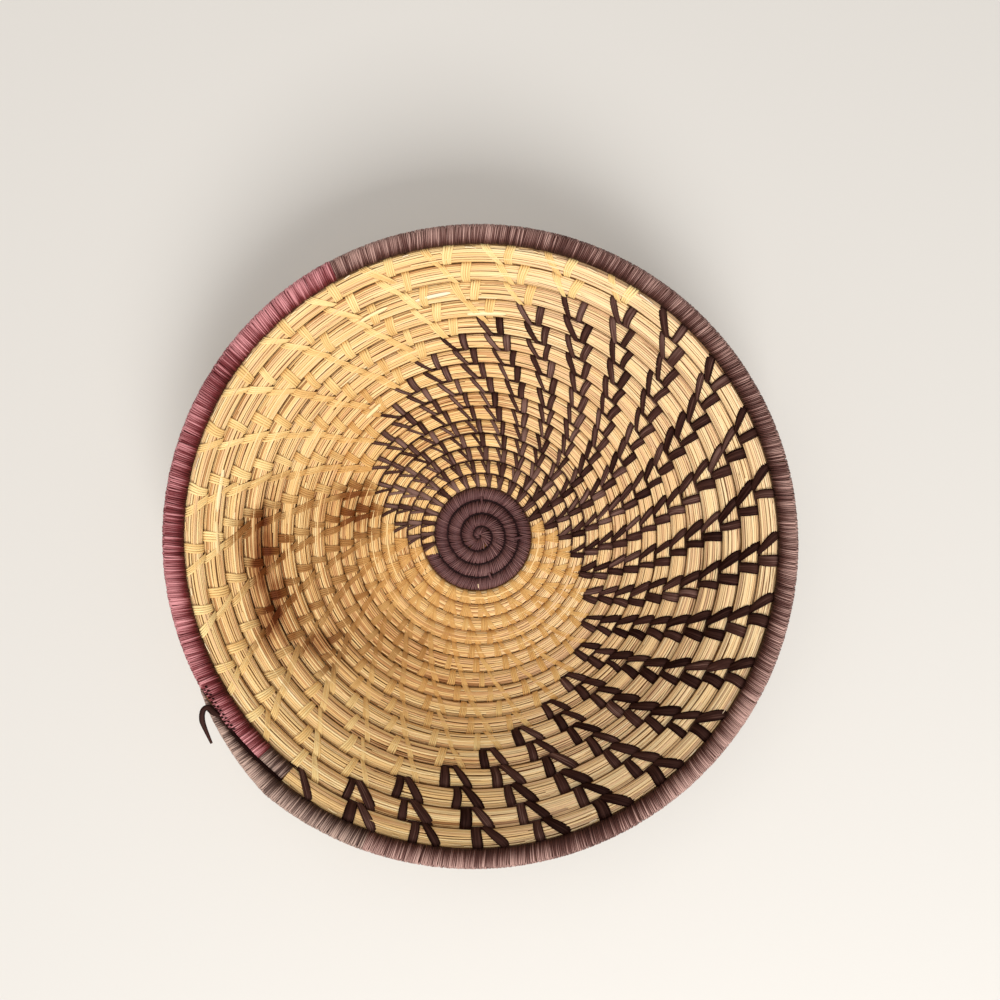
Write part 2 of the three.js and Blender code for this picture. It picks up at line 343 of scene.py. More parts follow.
def stain_mask(add, spots, strength):
    """How much each place has taken of the stain, uneven at its edge, from 0 to 1."""
    place = bowl_place(add)
    cloud = clouds(add, *STAIN_CLOUDS)
    total = None
    for middle, size, share in spots:
        scale = tuple(1 / length for length in size)
        offset = tuple(-coordinate / length for coordinate, length in zip(middle, size))
        moved = add("Mapping", {"Vector": place, "Location": offset, "Scale": scale})[0]
        distance = add("VectorMath", {0: moved}, operation="LENGTH")["Value"]
        uneven = calc(add, "MULTIPLY_ADD", cloud, 1.0, distance)
        near = calc(add, "MULTIPLY", ranged(add, uneven, *STAIN_FADES), share * strength)
        total = near if total is None else calc(add, "MAXIMUM", near, total)
    return calc(add, "MINIMUM", total, 1.0)


def browner_towards_base(add, colour, dull):
    """Duller and browner towards the base."""
    height = add("SeparateXYZ", {0: bowl_place(add)})["Z"]
    return tinted(add, ranged(add, height, *DULL_HEIGHTS), colour, dull)


def painted_light_on_right(add, colour, most):
    """Painted light: paler on the right side, where the light falls, by this share at the most."""
    side = add("SeparateXYZ", {0: bowl_place(add)})["X"]
    factor = ranged(add, side, *PAINTED_RIGHT_LIGHT_FROM, 0.0, most)
    return mixed_colours(add, factor, colour, PAINTED_RIGHT_LIGHT_STRAW)


# The straw: dry golden stalks with fine lines along them, some paler, some pinkish brown. Some
# are darker along their edges, where the next stalk leaves a gap: painted shade, with some dust.
# The darker ones have taken more of the stain. The fibres' three numbers are those of fibre_noise.
STRAW_STOPS = [
    (0.0, (0.30, 0.13, 0.04)),
    (0.22, (0.66, 0.37, 0.155)),
    (0.38, (0.85, 0.58, 0.31)),
    (0.52, (0.86, 0.58, 0.25)),
    (0.85, (0.95, 0.75, 0.41)),
    (1.0, (0.96, 0.81, 0.58)),
]
STALK_SHADOW = [
    (0.0, (0.10, 0.045, 0.015)),
    (0.5, (0.24, 0.12, 0.04)),
    (1.0, (0.36, 0.19, 0.07)),
]
STRAW_FIBRES = (2.5, 30.0, 77.0)
STRAW_CLOUDS = (30.0, 2.0)
STREAK_SHARE = 0.5
CLOUD_SHARE = 0.5
STRAW_SHADES = (0.45, 1.7)
STAIN_TAKEN = (1.40, 0.9, 0.12)
CREASE_SHADE_BROWN = (0.28, 0.14, 0.055)
CREASE_FROM = (0.48, 0.84)
CREASED_STALKS = (0.3, 0.7, 0.1)
CREASE_SEED = 23.0
BASE_STRAW_TINT = (0.96, 0.90, 0.82)
STRAW_RELIEF = 0.35
STRAW_GLOSS = 0.2


def straw_finish(name, stops, stain, stain_colour, roughness, most_painted_right_light):
    """A material of straw: its stops go from the darkest stalks to the palest."""
    material, add, surface, tree = shader(name)
    tone = carried(add, "tone")
    streak = fibre_noise(add, tone, *STRAW_FIBRES)
    own = calc(add, "MULTIPLY_ADD", clouds(add, *STRAW_CLOUDS), CLOUD_SHARE, tone)
    mixed = calc(add, "MULTIPLY_ADD", streak, STREAK_SHARE, own)
    colour = colour_ramp(add, ranged(add, mixed, *STRAW_SHADES), stops)
    colour = painted_light_on_right(add, colour, most_painted_right_light)
    taken = ranged(add, mixed, *STAIN_TAKEN)
    mask = calc(add, "MULTIPLY", stain_mask(add, STAINS, stain), taken)
    colour = tinted(add, mask, colour, stain_colour)
    colour = tinted(add, stain_mask(add, DEEP_STAINS, stain), colour, DEEP_BROWN)
    # Painted shade, with some dust, along the edges of some stalks, in the creases between them.
    edge = ranged(add, calc(add, "ABSOLUTE", carried(add, "across")), *CREASE_FROM)
    drawn = calc(add, "FRACT", calc(add, "MULTIPLY", tone, CREASE_SEED))
    crease_shade = calc(add, "MULTIPLY", edge, ranged(add, drawn, *CREASED_STALKS))
    colour = browner_towards_base(add, tinted(add, crease_shade, colour, CREASE_SHADE_BROWN), BASE_STRAW_TINT)
    cover(add, surface, tree, colour, streak, STRAW_RELIEF, roughness, STRAW_GLOSS)
    return material


straw = straw_finish(
    "straw",
    STRAW_STOPS,
    stain=0.85,
    stain_colour=(0.51, 0.33, 0.19),
    roughness=0.5,
    most_painted_right_light=0.22,
)
# The same straw in painted shade, dark, for the bundle's heart and the gaps between rows.
straw_shadow = straw_finish(
    "straw_in_shadow",
    STALK_SHADOW,
    stain=0.8,
    stain_colour=(0.4, 0.3, 0.2),
    roughness=0.9,
    most_painted_right_light=0.0,
)


# The heart of the bundle, seen only as dark lines between the stalks: straw in painted shade. It
# runs on inside both wrapped stretches, so the coil is whole from the middle of the base to the tip
# at the rim.
CORE_SHARE = 0.87
CORE_WIDEST = 0.0038
CORE_STEP = 1 / 96
core_turns = np.arange(START_TURN, RIM_END_TURN, CORE_STEP)
core_coil = coil_at(core_turns)
core_breadth = np.minimum(core_coil.half * CORE_SHARE, CORE_WIDEST)
core_path = path(core_coil.middle, core_coil.square, core_breadth, tone=0.5)
core = strands("bundle_heart", [core_path], straw_shadow, sides=10, flatness=0.80)

# A dark strand lies in the gap between one row and the next: painted shade in the groove.
FILLER_BREADTH = 0.0011
FILLER_OUT = 0.0003
FILLER_TURNS = (CENTRE_END_TURN - 0.9, RIM_END_TURN - 1)
gap_turns = core_turns[(core_turns > FILLER_TURNS[0]) & (core_turns < FILLER_TURNS[1])]
gap_coil = coil_at(gap_turns)
gap_points = gap_coil.middle + gap_coil.across * (gap_coil.half + FILLER_OUT)[:, None]
gap_path = path(gap_points, gap_coil.square, FILLER_BREADTH, tone=0.3)
gap_shade = strands("row_gap_painted_shade", [gap_path], straw_shadow, sides=6, flatness=1.0)

# Each stitch is this share of a turn from the next; the last one is just inside the rim.
STITCH_TURNS = 0.034233
LAST_STITCH_TURN = 20.216

# The stalks lie side by side round the bundle, each a hand's breadth or two long. They wander a
# little, differ in thickness, and where the stitches bite the bundle is drawn in. Where one row
# lies against the next no stalk would be seen, and none is made.
LANE_WIDTH = 0.00100
LANE_STEPS = 721
HIDDEN_SIDE = 0.995
SQUARENESS = 0.90
SQUARE_OUT = 0.92
SQUARE_LIFT = 0.97
CINCH = 0.045
STALK_STEP = 0.0055
STALK_LENGTHS = (0.06, 0.20)
SHORTEST_TURNS = 0.003
FIRST_CUT_SHORT = (0, 0.1)
STALK_BREADTHS = (0.8, 1.2)
STALK_BREADTH_SHARE = 0.60
STALK_TONES = (2.6, 1.6)
OFF_LANE = (-0.05, 0.05)
WANDER = (0.01, 0.06)
WANDER_WAVES = (20, 60)
SHIVER = 0.015
SHIVER_WAVES = (100, 160)
WAVE_STARTS = (0, 6)
STALK_DEPTHS = (0.88, 0.95)
DEPTH_SWAY = 0.012
DEPTH_WAVES = (60, 120)
END_DIPS = (0.0, 0.1)


def bundle_side(angle):
    """The place on the bundle's outline at an angle round it, in shares of the half sizes."""
    out = SQUARE_OUT * np.sign(np.cos(angle)) * np.abs(np.cos(angle)) ** SQUARENESS
    lift = SQUARE_LIFT * np.sign(np.sin(angle)) * np.abs(np.sin(angle)) ** SQUARENESS
    return out, lift


def lane_angles(turn):
    """Angles round the bundle of stalks that lie evenly side by side."""
    coil = coil_at(turn)
    angle = np.linspace(0, 2 * math.pi, LANE_STEPS)
    out, lift = bundle_side(angle)
    steps = np.hypot(np.diff(out * coil.half), np.diff(lift * coil.high))
    reach = np.concatenate([[0], np.cumsum(steps)])
    lanes = int(reach[-1] / LANE_WIDTH)
    return np.interp((np.arange(lanes) + 0.5) / lanes * reach[-1], reach, angle)


def waves(reach, most, per_metre):
    """A sway along the stalk, with a wave length and a start of its own."""
    return most * np.sin(reach * chance.uniform(*per_metre) + chance.uniform(*WAVE_STARTS))


def stalk(first, last, lane_angle):
    """One stalk from turn to turn, at a place round the bundle."""
    count = max(int((last - first) * coil_length((first + last) / 2) / STALK_STEP), 3)
    turn = np.linspace(first, last, count)
    reach = (turn - first) * coil_length(turn)
    wander = waves(reach, chance.uniform(*WANDER), WANDER_WAVES)
    wander = wander + waves(reach, SHIVER, SHIVER_WAVES)
    out, lift = bundle_side(lane_angle + wander)
    stitched = (LAST_STITCH_TURN - turn) / STITCH_TURNS
    drawn_in = CINCH * (0.5 + 0.5 * np.cos(2 * math.pi * stitched)) ** 3
    depth = chance.uniform(*STALK_DEPTHS)
    depth = depth + DEPTH_SWAY * np.sin(reach * chance.uniform(*DEPTH_WAVES)) - drawn_in
    depth[[0, -1]] -= chance.uniform(*END_DIPS)
    points = coil_point(turn, out * depth, lift * depth)
    coil = coil_at(turn)
    facing = coil.across * (out / coil.half)[:, None] + coil.square * (lift / coil.high)[:, None]
    breadth = LANE_WIDTH * STALK_BREADTH_SHARE * chance.uniform(*STALK_BREADTHS)
    return path(points, unit(facing), breadth, chance.beta(*STALK_TONES))


def stalk_rows(first, last):
    """All stalks of a stretch of the coil, lane by lane, end to end."""
    paths = []
    for angle in lane_angles((first + last) / 2):
        if abs(math.cos(angle)) > HIDDEN_SIDE:
            continue
        turn = first - chance.uniform(*FIRST_CUT_SHORT)
        while turn < last:
            length = chance.uniform(*STALK_LENGTHS) / float(coil_length(turn))
            begin, end = max(turn, first), min(turn + length, last)
            if end - begin > SHORTEST_TURNS:
                paths.append(stalk(begin, end, angle + chance.uniform(*OFF_LANE)))
            turn += length
    return paths


# The coil's stalks come as four pieces, each small enough to handle.
STRAW_PARTS = [CENTRE_END_TURN, 10.5, 14.2, 17.4, RIM_START_TURN]
straw_pieces = []
for number, (first, last) in enumerate(zip(STRAW_PARTS, STRAW_PARTS[1:]), 1):
    rows = stalk_rows(first, last)
    straw_pieces.append(strands(f"straw_rows_{number}", rows, straw, sides=5, flatness=0.85))

# Here and there a stalk has broken, and its end stands out along the inner edge of the rim,
# between one stitch and the next.
SLIVERS = 28
SLIVER_AFTER_STITCH = 0.94
SLIVER_SHIFTS = (0, 0.009)
SLIVER_LENGTHS = (0.003, 0.008)
SLIVER_OUTS = (0.80, 0.92)
SLIVER_SPLAYS = (-0.05, 0.14)
SLIVER_LIFTS = (0.62, 0.82)
SLIVER_RISES = (0.0, 0.35)
SLIVER_BREADTHS = (0.00025, 0.0005)
SLIVER_TAPER = np.array([1, 1, 1, 0.9, 0.6])
SLIVER_TONES = (0.6, 1.4)
sliver_paths = []
sliver_run = np.linspace(0, 1, len(SLIVER_TAPER))
for number in range(SLIVERS):
    turn = LAST_STITCH_TURN - (number + SLIVER_AFTER_STITCH) * STITCH_TURNS
    turn += chance.uniform(*SLIVER_SHIFTS)
    turns = turn + sliver_run * chance.uniform(*SLIVER_LENGTHS) / float(coil_length(turn))
    outs = chance.uniform(*SLIVER_OUTS) + sliver_run * chance.uniform(*SLIVER_SPLAYS)
    lifts = chance.uniform(*SLIVER_LIFTS) + sliver_run**2 * chance.uniform(*SLIVER_RISES)
    breadth = chance.uniform(*SLIVER_BREADTHS) * SLIVER_TAPER
    tone = chance.uniform(*SLIVER_TONES)
    sliver_paths.append(path(coil_point(turns, outs, lifts), coil_at(turns).square, breadth, tone))

# In the dark disc one short pale bit of straw shows between two strips of the wrapping.
FLECK_TURNS = np.array([4.117, 4.1176, 4.1182, 4.1188])
FLECK_PLACES = np.array([0.5, 0.3, 0.1, -0.1])
FLECK_LIFTS = np.array([0.97, 1.07, 1.11, 1.11])
FLECK_BREADTH = 0.0003
fleck_points = coil_point(FLECK_TURNS, FLECK_PLACES, FLECK_LIFTS)
sliver_paths.append(path(fleck_points, coil_at(FLECK_TURNS).square, FLECK_BREADTH, tone=1.6))
straw_pieces.append(strands("straw_ends", sliver_paths, straw, sides=5, flatness=0.4))

# A few broad pale straws, flattened, lie on the face of their rows under the stitches: their
# turns, and how far out of the row's middle they lie.
PALE_STRAWS = [
    (17.545, 0.25),
    (17.585, 0.1),
    (18.365, -0.1),
    (18.394, 0.0),
    (12.503, 0.1),
    (16.62, -0.3),
]
PALE_TURNS = (0.020, 0.028)
PALE_SKEW = 0.06
PALE_LIFT = 0.96
PALE_BREADTH = 0.0015
PALE_TAPER = np.array([0.5, 0.9, 1, 1, 1, 1, 1, 0.9, 0.5])
PALE_TONES = (0.9, 1.15)
pale_paths = []
pale_count = len(PALE_TAPER)
for turn, place in PALE_STRAWS:
    turns = turn + np.linspace(-0.5, 0.5, pale_count) * chance.uniform(*PALE_TURNS)
    places = place + np.linspace(-PALE_SKEW, PALE_SKEW, pale_count)
    points = coil_point(turns, places, np.full(pale_count, PALE_LIFT))
    tone = chance.uniform(*PALE_TONES)
    pale_paths.append(path(points, coil_at(turns).square, PALE_BREADTH * PALE_TAPER, tone))
straw_pieces.append(strands("pale_straws", pale_paths, straw, sides=6, flatness=0.15))

for piece in [core, gap_shade, *straw_pieces]:
    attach(piece, "root")
    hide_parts("straw_coil")


# Raffia: fine fibres along the strip, a painted sheen paler along its middle and darker at its
# edges, with a dull gloss. The natural raffia has taken the stain more than the straw has, and it
# too grows duller and browner towards the base.
DARK_STOPS = [
    (0.0, (0.014, 0.004, 0.003)),
    (0.6, (0.062, 0.026, 0.020)),
    (1.0, (0.20, 0.115, 0.095)),
]
NATURAL_STOPS = [
    (0.0, (0.70, 0.42, 0.155)),
    (0.5, (0.87, 0.59, 0.245)),
    (1.0, (0.97, 0.77, 0.38)),
]
RAFFIA_ALONG = 60.0
RAFFIA_SEED = 51.0
RAFFIA_CLOUDS = (22.0, 1.0)
RAFFIA_CLOUD_SHARE = 0.35
RAFFIA_TONE_SHARE = 0.4
RAFFIA_PAINTED_SHEEN = -0.3
RAFFIA_SHADES = (0.475, 1.075)
RAFFIA_RELIEF = 0.5
STAINED_RAFFIA = (0.31, 0.18, 0.11)
BASE_RAFFIA_TINT = (0.76, 0.62, 0.49)


def raffia_finish(name, stops, roughness, fibres, gloss, stain=0.0):
    """A material of raffia: more fibres are finer ones, and without a stain it is clean."""
    material, add, surface, tree = shader(name)
    tone = carried(add, "tone")
    streak = fibre_noise(add, tone, fibres, RAFFIA_ALONG, RAFFIA_SEED)
    side = carried(add, "across")
    # A painted sheen: the strip paler along its middle and darker towards its edges.
    streak_and_sheen = calc(add, "MULTIPLY_ADD", calc(add, "MULTIPLY", side, side), RAFFIA_PAINTED_SHEEN, streak)
    # Soft clouds of tone, with the painted light and shade that the rim's strands carry.
    cloud = clouds(add, *RAFFIA_CLOUDS)
    painted_rim_light = calc(add, "MULTIPLY_ADD", cloud, RAFFIA_CLOUD_SHARE, carried(add, "shade"))
    mixed = calc(add, "MULTIPLY_ADD", tone, RAFFIA_TONE_SHARE, streak_and_sheen)
    mixed = calc(add, "ADD", mixed, painted_rim_light)
    colour = colour_ramp(add, ranged(add, mixed, *RAFFIA_SHADES), stops)
    if stain:
        colour = tinted(add, stain_mask(add, STAINS, stain), colour, STAINED_RAFFIA)
        colour = tinted(add, stain_mask(add, DEEP_STAINS, stain), colour, DEEP_BROWN)
        colour = browner_towards_base(add, colour, BASE_RAFFIA_TINT)
    cover(add, surface, tree, colour, streak, RAFFIA_RELIEF, roughness, gloss)
    return material


dark_raffia = raffia_finish("dark_raffia", DARK_STOPS, roughness=0.5, fibres=6.0, gloss=0.04)
natural_raffia = raffia_finish(
    "natural_raffia", NATURAL_STOPS, roughness=0.6, fibres=4.0, gloss=0.15, stain=1.1
)


# Each stitch is a strip of raffia that comes over the top of its row, runs straight down the
# face, dives into the row below, and climbs again on a slant: a narrow V, inside and outside.
STITCHES_PER_RUN = 15
RUNS = 31

# The stitches' sizes change along the coil, and are given at these shares of the way to the rim.
# The dark strips are broader and blacker on the right, finer and browner on the left, and the
# natural ones are made of narrower strips side by side, a little broader on the left.
SHARES = [0, 0.2, 0.5, 1]
HEAD_LEADS = [0.0135, 0.0165, 0.0175, 0.0142]
FOOT_LEADS = [0.001, 0.004, 0.0070, 0.0032]
DARK_STITCH = {
    "halves": {
        "leg": [0.00106, 0.00125, 0.00158, 0.0020],
        "bar": [0.00154, 0.00166, 0.00200, 0.0026],
    },
    "leans": [0.0040, 0.0040, 0.0036, 0.0010],
    "strips": 1,
    "strip share": 1.0,
    "height": 1.0,
    "broader right": {"leg": 0.30, "bar": 0.12},
    "darker right": 0.30,
    "tones": (-0.15, 0.5),
}
NATURAL_STITCH = {
    "halves": {
        "leg": [0.0017, 0.0017, 0.0019, 0.0021],
        "bar": [0.0020, 0.0020, 0.0021, 0.0023],
    },
    "leans": [0.0010, 0.0, -0.0006, -0.0010],
    "strips": 4,
    "strip share": 0.27,
    "height": 0.93,
    "broader right": {"leg": -0.15, "bar": -0.12},
    "darker right": 0.0,
    "tones": (0.0, 0.6),
}

# Places across the row and lifts off its middle, from the head of a strip to its foot. Near the
# middle a leg ends like a bar, and a few of the natural legs reach over two rows.
BAR_PLACES = np.array([1.04, 0.98, 0.88, 0.64, 0.3, 0.0, -0.3, -0.64, -0.88, -0.98, -1.04])
BAR_LIFTS = np.array([0.12, 0.44, 0.72, 0.93, 1.02, 1.05, 1.02, 0.93, 0.72, 0.44, 0.12])
LEG_PLACES = np.array([1.04, 0.98, 0.88, 0.64, 0.3, 0.0, -0.3, -0.62, -0.86, -1.02, -1.12, -1.18])
LEG_LIFTS = np.array([0.12, 0.44, 0.72, 0.92, 1.01, 1.03, 1.01, 0.94, 0.85, 0.74, 0.60, 0.35])
LONG_LEG_PLACES = np.array([1.04, 0.98, 0.88, 0.6, 0.2, -0.2, -0.6, -0.9, -1.15, -1.4, -1.6, -1.72])
LONG_LEG_LIFTS = np.array([0.12, 0.44, 0.72, 0.92, 1.03, 1.04, 0.98, 0.92, 0.90, 0.93, 0.93, 0.72])
NO_OVERLAP_TURN = 9.0
LONG_LEG_SHARE = 0.15
LONG_LEG_LEAN = 0.004
FACE_ROUNDING = 0.35

# How far one stitch may differ from the next.
HEAD_LEAD_SPREAD = (0.92, 1.10)
FOOT_LEAD_SPREAD = (0.7, 1.3)
FOOT_SPREAD = (-0.0010, 0.0010)
BOWS = (-0.0012, 0.0004)
TURN_SPREAD = (-0.0012, 0.0012)
WIDEST = 1.15
WIDTH_SPREAD = 0.45
WIDTH_DRAW = (1.5, 2.5)
NARROWINGS = {"leg": (0.15, 0.40), "bar": (0.04, 0.28)}
NARROWING_SPREAD = (0.4, 1.4)
STITCH_RAISED = (0.0, 0.025)
STRIP_RAISED = (0.0, 0.015)
STRIP_FAN = (-0.25, 0.25)
LEG_BOW_SHARE = 0.4
LEG_DARKER = 0.1
STRIP_TONES = (0, 0.5)


def strip_over(turn, out, lift, breadth, tone):
    """A strip through places on the coil's face, turned to lie flat on it."""
    points = coil_point(turn, out, lift)
    coil = coil_at(turn)
    ahead = unit(np.gradient(points, axis=0))
    facing = coil.across * (FACE_ROUNDING * out)[:, None] + coil.square * np.sign(lift)[:, None]
    facing -= ahead * np.sum(facing * ahead, axis=1)[:, None]
    return path(points, unit(facing), breadth, tone)


def stitch(turn, face, kind, parts):
    """The leg and the bar of one stitch, on the inner (1) or outer (-1) face of the bowl."""
    share = (turn - CENTRE_END_TURN) / (RIM_START_TURN - CENTRE_END_TURN)
    to_the_right = math.cos(2 * math.pi * turn)
    strips, strip_share = kind["strips"], kind["strip share"]
    leg_head = turn - np.interp(share, SHARES, HEAD_LEADS) * chance.uniform(*HEAD_LEAD_SPREAD)
    foot = turn + np.interp(share, SHARES, kind["leans"]) + chance.uniform(*FOOT_SPREAD)
    leg_foot = foot - np.interp(share, SHARES, FOOT_LEADS) * chance.uniform(*FOOT_LEAD_SPREAD)
    bow = chance.uniform(*BOWS)
    leg = (LEG_PLACES, LEG_LIFTS)
    if turn < NO_OVERLAP_TURN:
        leg = (BAR_PLACES, BAR_LIFTS)
    elif strips > 1 and chance.uniform(0, 1) < LONG_LEG_SHARE:
        leg = (LONG_LEG_PLACES, LONG_LEG_LIFTS)
        leg_foot = leg_foot + LONG_LEG_LEAN
    shapes = {
        "leg": (*leg, leg_head, leg_foot, LEG_BOW_SHARE * bow),
        "bar": (BAR_PLACES, BAR_LIFTS, turn, foot, bow),
    }
    paths = []
    for part in parts:
        places, lifts, head, foot, bend = shapes[part]
        rise = (places[0] - places) / (places[0] - places[-1])
        path_turn = head + (foot - head) * rise + bend * np.sin(rise * math.pi)
        half = np.interp(share, SHARES, kind["halves"][part])
        half = half * (1 + kind["broader right"][part] * to_the_right)
        width = half * (WIDEST - WIDTH_SPREAD * chance.beta(*WIDTH_DRAW))
        narrow = chance.uniform(*NARROWING_SPREAD, 2) * NARROWINGS[part]
        waist = width * (1 - narrow[0] * (1 - rise) ** 4 - narrow[1] * rise**2)
        raised = chance.uniform(*STITCH_RAISED)
        own_tone = chance.uniform(*kind["tones"]) - (LEG_DARKER if part == "leg" else 0)
        own_tone -= kind["darker right"] * to_the_right
        for strip in range(strips):
            offset = (strip - (strips - 1) / 2) * 2 * (1 - strip_share) / max(strips - 1, 1)
            fan = 1 + chance.uniform(*STRIP_FAN) * (rise - 0.5)
            shift = offset * waist * fan / coil_length(turn)
            lift = face * (lifts * kind["height"] + raised + chance.uniform(*STRIP_RAISED))
            tone = own_tone + chance.uniform(*STRIP_TONES)
            paths.append(strip_over(path_turn + shift, places, lift, waist * strip_share, tone))
    return paths


# A dark strand also shows in the groove at its stitches' feet, and near the middle in the groove
# at their heads. The turns are counted from the stitch.
FOOT_THREAD = {"turns": (-0.006, 0.005), "place": -1.03, "lift": 0.58, "breadth": 0.0005}
HEAD_THREAD = {"turns": (-0.001, 0.021), "place": 1.03, "lift": 0.50, "breadth": 0.00042}
HEAD_THREAD_END_TURN = 8.6
THREAD_SAG = 0.15


def groove_thread(stitch_turn, face, thread):
    """The strand where it runs on along a groove between two rows."""
    first, last = thread["turns"]
    turn = np.linspace(stitch_turn + first, stitch_turn + last, 5)
    lift = thread["lift"] - THREAD_SAG * np.abs(np.linspace(-1, 1, 5)) ** 3
    points = coil_point(turn, np.full(5, thread["place"]), face * lift)
    facing = coil_at(turn).square * face
    return path(points, facing, thread["breadth"], chance.uniform(*STRIP_TONES))


# The strands in turn, from the rim inwards. The last stitch is a leg alone.
LAST_LEG_SHIFT = 0.005
for run in range(RUNS):
    is_dark = run % 2 == 0
    node = f"{'dark' if is_dark else 'natural'}_strand_{(RUNS - run + 1) // 2:02d}"
    paths = []
    for number in range(STITCHES_PER_RUN):
        turn = LAST_STITCH_TURN - (run * STITCHES_PER_RUN + number) * STITCH_TURNS
        turn += chance.uniform(*TURN_SPREAD)
        is_last = run == 0 and number == 0
        if is_last:
            turn += LAST_LEG_SHIFT
        for face in (1, -1):
            parts = ("leg",) if is_last else ("leg", "bar")
            paths += stitch(turn, face, DARK_STITCH if is_dark else NATURAL_STITCH, parts)
            if is_dark:
                paths.append(groove_thread(turn, face, FOOT_THREAD))
            if is_dark and turn < HEAD_THREAD_END_TURN:
                paths.append(groove_thread(turn, face, HEAD_THREAD))
    if is_dark:
        piece = strands(node + "_raffia", paths, dark_raffia, sides=8, flatness=0.09)
    else:
        piece = strands(node + "_raffia", paths, natural_raffia, sides=6, flatness=0.20)
    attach(piece, "root")
    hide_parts(node)


# The wrapping of the centre and of the rim: fine strips wound round and round the bundle, each
# turn lapping a little over the one before. At the very middle the bundle is thin and hooked.
# The rim has painted shade on its inner side and a painted highlight on its outer edge, and painted
# light and shade that change along it.
WRAP_POINTS = 16
HOOK_TURN = 0.15
HOOK_END_TURN = 0.9
HOOK_THINNESS = [0.5, 1.0]
HOOK_BREADTH = 0.3
ROUND_FROM_INSIDE = [-1, -0.7, -0.2, 0.5, 1]
ROUND_SHADES = [-0.34, -0.26, -0.06, 0.07, 0.14]
PAINTED_LIGHT_TURNS = [20.45, 20.49, 20.56, 20.61, 20.72, 20.80, 20.88, 21.00, 21.05, 21.12, 21.20]
PAINTED_LIGHT_SHADES = [0.0, 0.10, 0.08, -0.04, -0.06, -0.04, -0.02, 0.13, -0.11, -0.03, 0.08]
WRAP_PITCH = 0.00095
WRAP_HALF_BREADTH = 0.00068
WRAP_SLANT = 0.0004
PITCH_SPREAD = (0.75, 1.25)
SLANT_SPREAD = (0.3, 1.7)
BREADTH_SPREAD = (0.8, 1.25)
RAISED_SPREAD = (-0.02, 0.03)
MIDDLE_TONE = 0.5
WRAP_TONES = (1.6, 2.6)
COILWISE_FACING = 0.2


def winding(wrap):
    """One strip wound round the coil from turn to turn.

    Its swell is how far it stands off the bundle, outwards and square to it, in shares of the
    coil's half sizes. A lesser fineness makes narrower strips.
    """
    first, last = wrap["turns"]
    swell, fineness = wrap["swell"], wrap["fineness"]
    starts = [first]
    while starts[-1] < last:
        around = float(coil_length(max(starts[-1], HOOK_END_TURN)))
        starts.append(starts[-1] + WRAP_PITCH * fineness * chance.uniform(*PITCH_SPREAD) / around)
    rounds = len(starts)

    def each_round(values):
        return np.repeat(values, WRAP_POINTS)

    steps = np.arange(rounds * WRAP_POINTS) / WRAP_POINTS
    base_turn = np.interp(steps, np.arange(rounds), starts)
    angle = -2 * math.pi * steps
    tilt = each_round(chance.uniform(*SLANT_SPREAD, rounds)) * WRAP_SLANT
    path_turn = base_turn + tilt * np.cos(angle) / coil_length(np.maximum(base_turn, HOOK_END_TURN))
    raised = each_round(chance.uniform(*RAISED_SPREAD, rounds))
    thin = np.interp(base_turn, [HOOK_TURN, HOOK_END_TURN], HOOK_THINNESS)
    out = np.cos(angle) * (swell[0] + raised + HOOK_BREADTH * (1 - thin))
    lift = np.sin(angle) * (swell[1] + raised) * thin
    coil = coil_at(path_turn)
    facing = unit(coil.across * out[:, None] + coil.square * lift[:, None])
    facing += np.cross(coil.across, coil.square) * COILWISE_FACING
    drawn = chance.beta(*WRAP_TONES, rounds) - MIDDLE_TONE
    tone = each_round(MIDDLE_TONE + wrap["contrast"] * drawn)
    breadth = WRAP_HALF_BREADTH * fineness * each_round(chance.uniform(*BREADTH_SPREAD, rounds))
    # Painted shade on the inner side, a painted highlight on the outer edge, and painted light
    # along the rim.
    shade = np.interp(np.cos(angle), ROUND_FROM_INSIDE, ROUND_SHADES)
    shade = wrap["painted_rim_light"] * (shade + np.interp(base_turn, PAINTED_LIGHT_TURNS, PAINTED_LIGHT_SHADES))
    return path(coil_point(path_turn, out, lift), facing, breadth, tone, shade)


# At the centre a strand of the darkest tone fills the groove of the spiral: painted shade. A few
# strips of the wrapping cross it, where each row was caught to the one inside it.
GROOVE_FROM_TURN = 1.05
GROOVE_STEP = 1 / 64
GROOVE_PLACE = -1.0
GROOVE_LIFT = 0.12
GROOVE_BREADTH = 0.0016
CROSSING_TURNS = [3.62, 3.87, 4.07]
CROSSING_PLACES = np.array([-0.35, -0.6, -0.8, -1.0, -1.2, -1.4, -1.65])
CROSSING_LIFTS = np.array([0.84, 0.88, 0.80, 0.72, 0.80, 0.88, 0.84])
CROSSING_LEAN = np.linspace(0, 0.006, len(CROSSING_PLACES))
CROSSING_BREADTH = 0.0010


def centre_extras():
    """The strand of painted shade in the centre's groove, and the strips that cross it."""
    turn = np.arange(GROOVE_FROM_TURN, CENTRE_END_TURN, GROOVE_STEP)
    count = len(turn)
    groove_shade = coil_point(turn, np.full(count, GROOVE_PLACE), np.full(count, GROOVE_LIFT))
    extras = [path(groove_shade, coil_at(turn).across, GROOVE_BREADTH, tone=-0.6)]
    for crossing in CROSSING_TURNS:
        turns = crossing + CROSSING_LEAN
        strip = strip_over(turns, CROSSING_PLACES, CROSSING_LIFTS, CROSSING_BREADTH, tone=0.2)
        extras.append(strip)
    return extras


